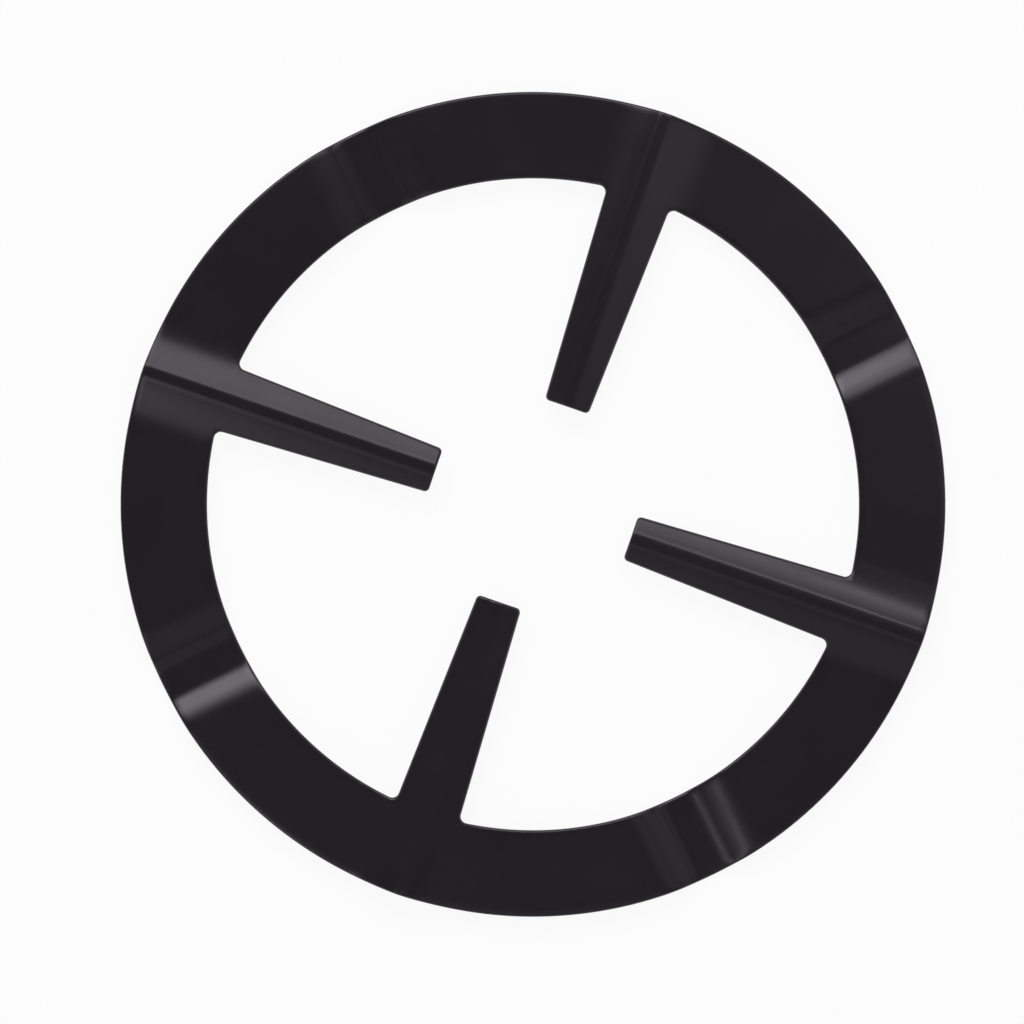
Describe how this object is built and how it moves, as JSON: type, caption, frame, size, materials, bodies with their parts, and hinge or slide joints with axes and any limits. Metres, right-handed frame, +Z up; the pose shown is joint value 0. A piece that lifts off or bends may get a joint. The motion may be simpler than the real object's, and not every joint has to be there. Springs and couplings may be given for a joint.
{
  "type": "stove reducer ring",
  "caption": "Pressed ring of black enamelled sheet steel with tapered, ridged arms pointing inwards, made to carry a small pot over a wide gas burner.",
  "frame": {"origin": "on the hob, below the centre of the ring", "axes": "+Z up, away from the hob; one arm along +X and the next along +Y, with the grooves midway between the arms"},
  "size_m": [0.14, 0.14, 0.0054],
  "materials": {
    "black_enamel": "smooth black vitreous enamel, satin to glossy, over pressed sheet steel"
  },
  "bodies": {
    "root": {"reducer_ring": "black_enamel"}
  },
  "joints": []
}
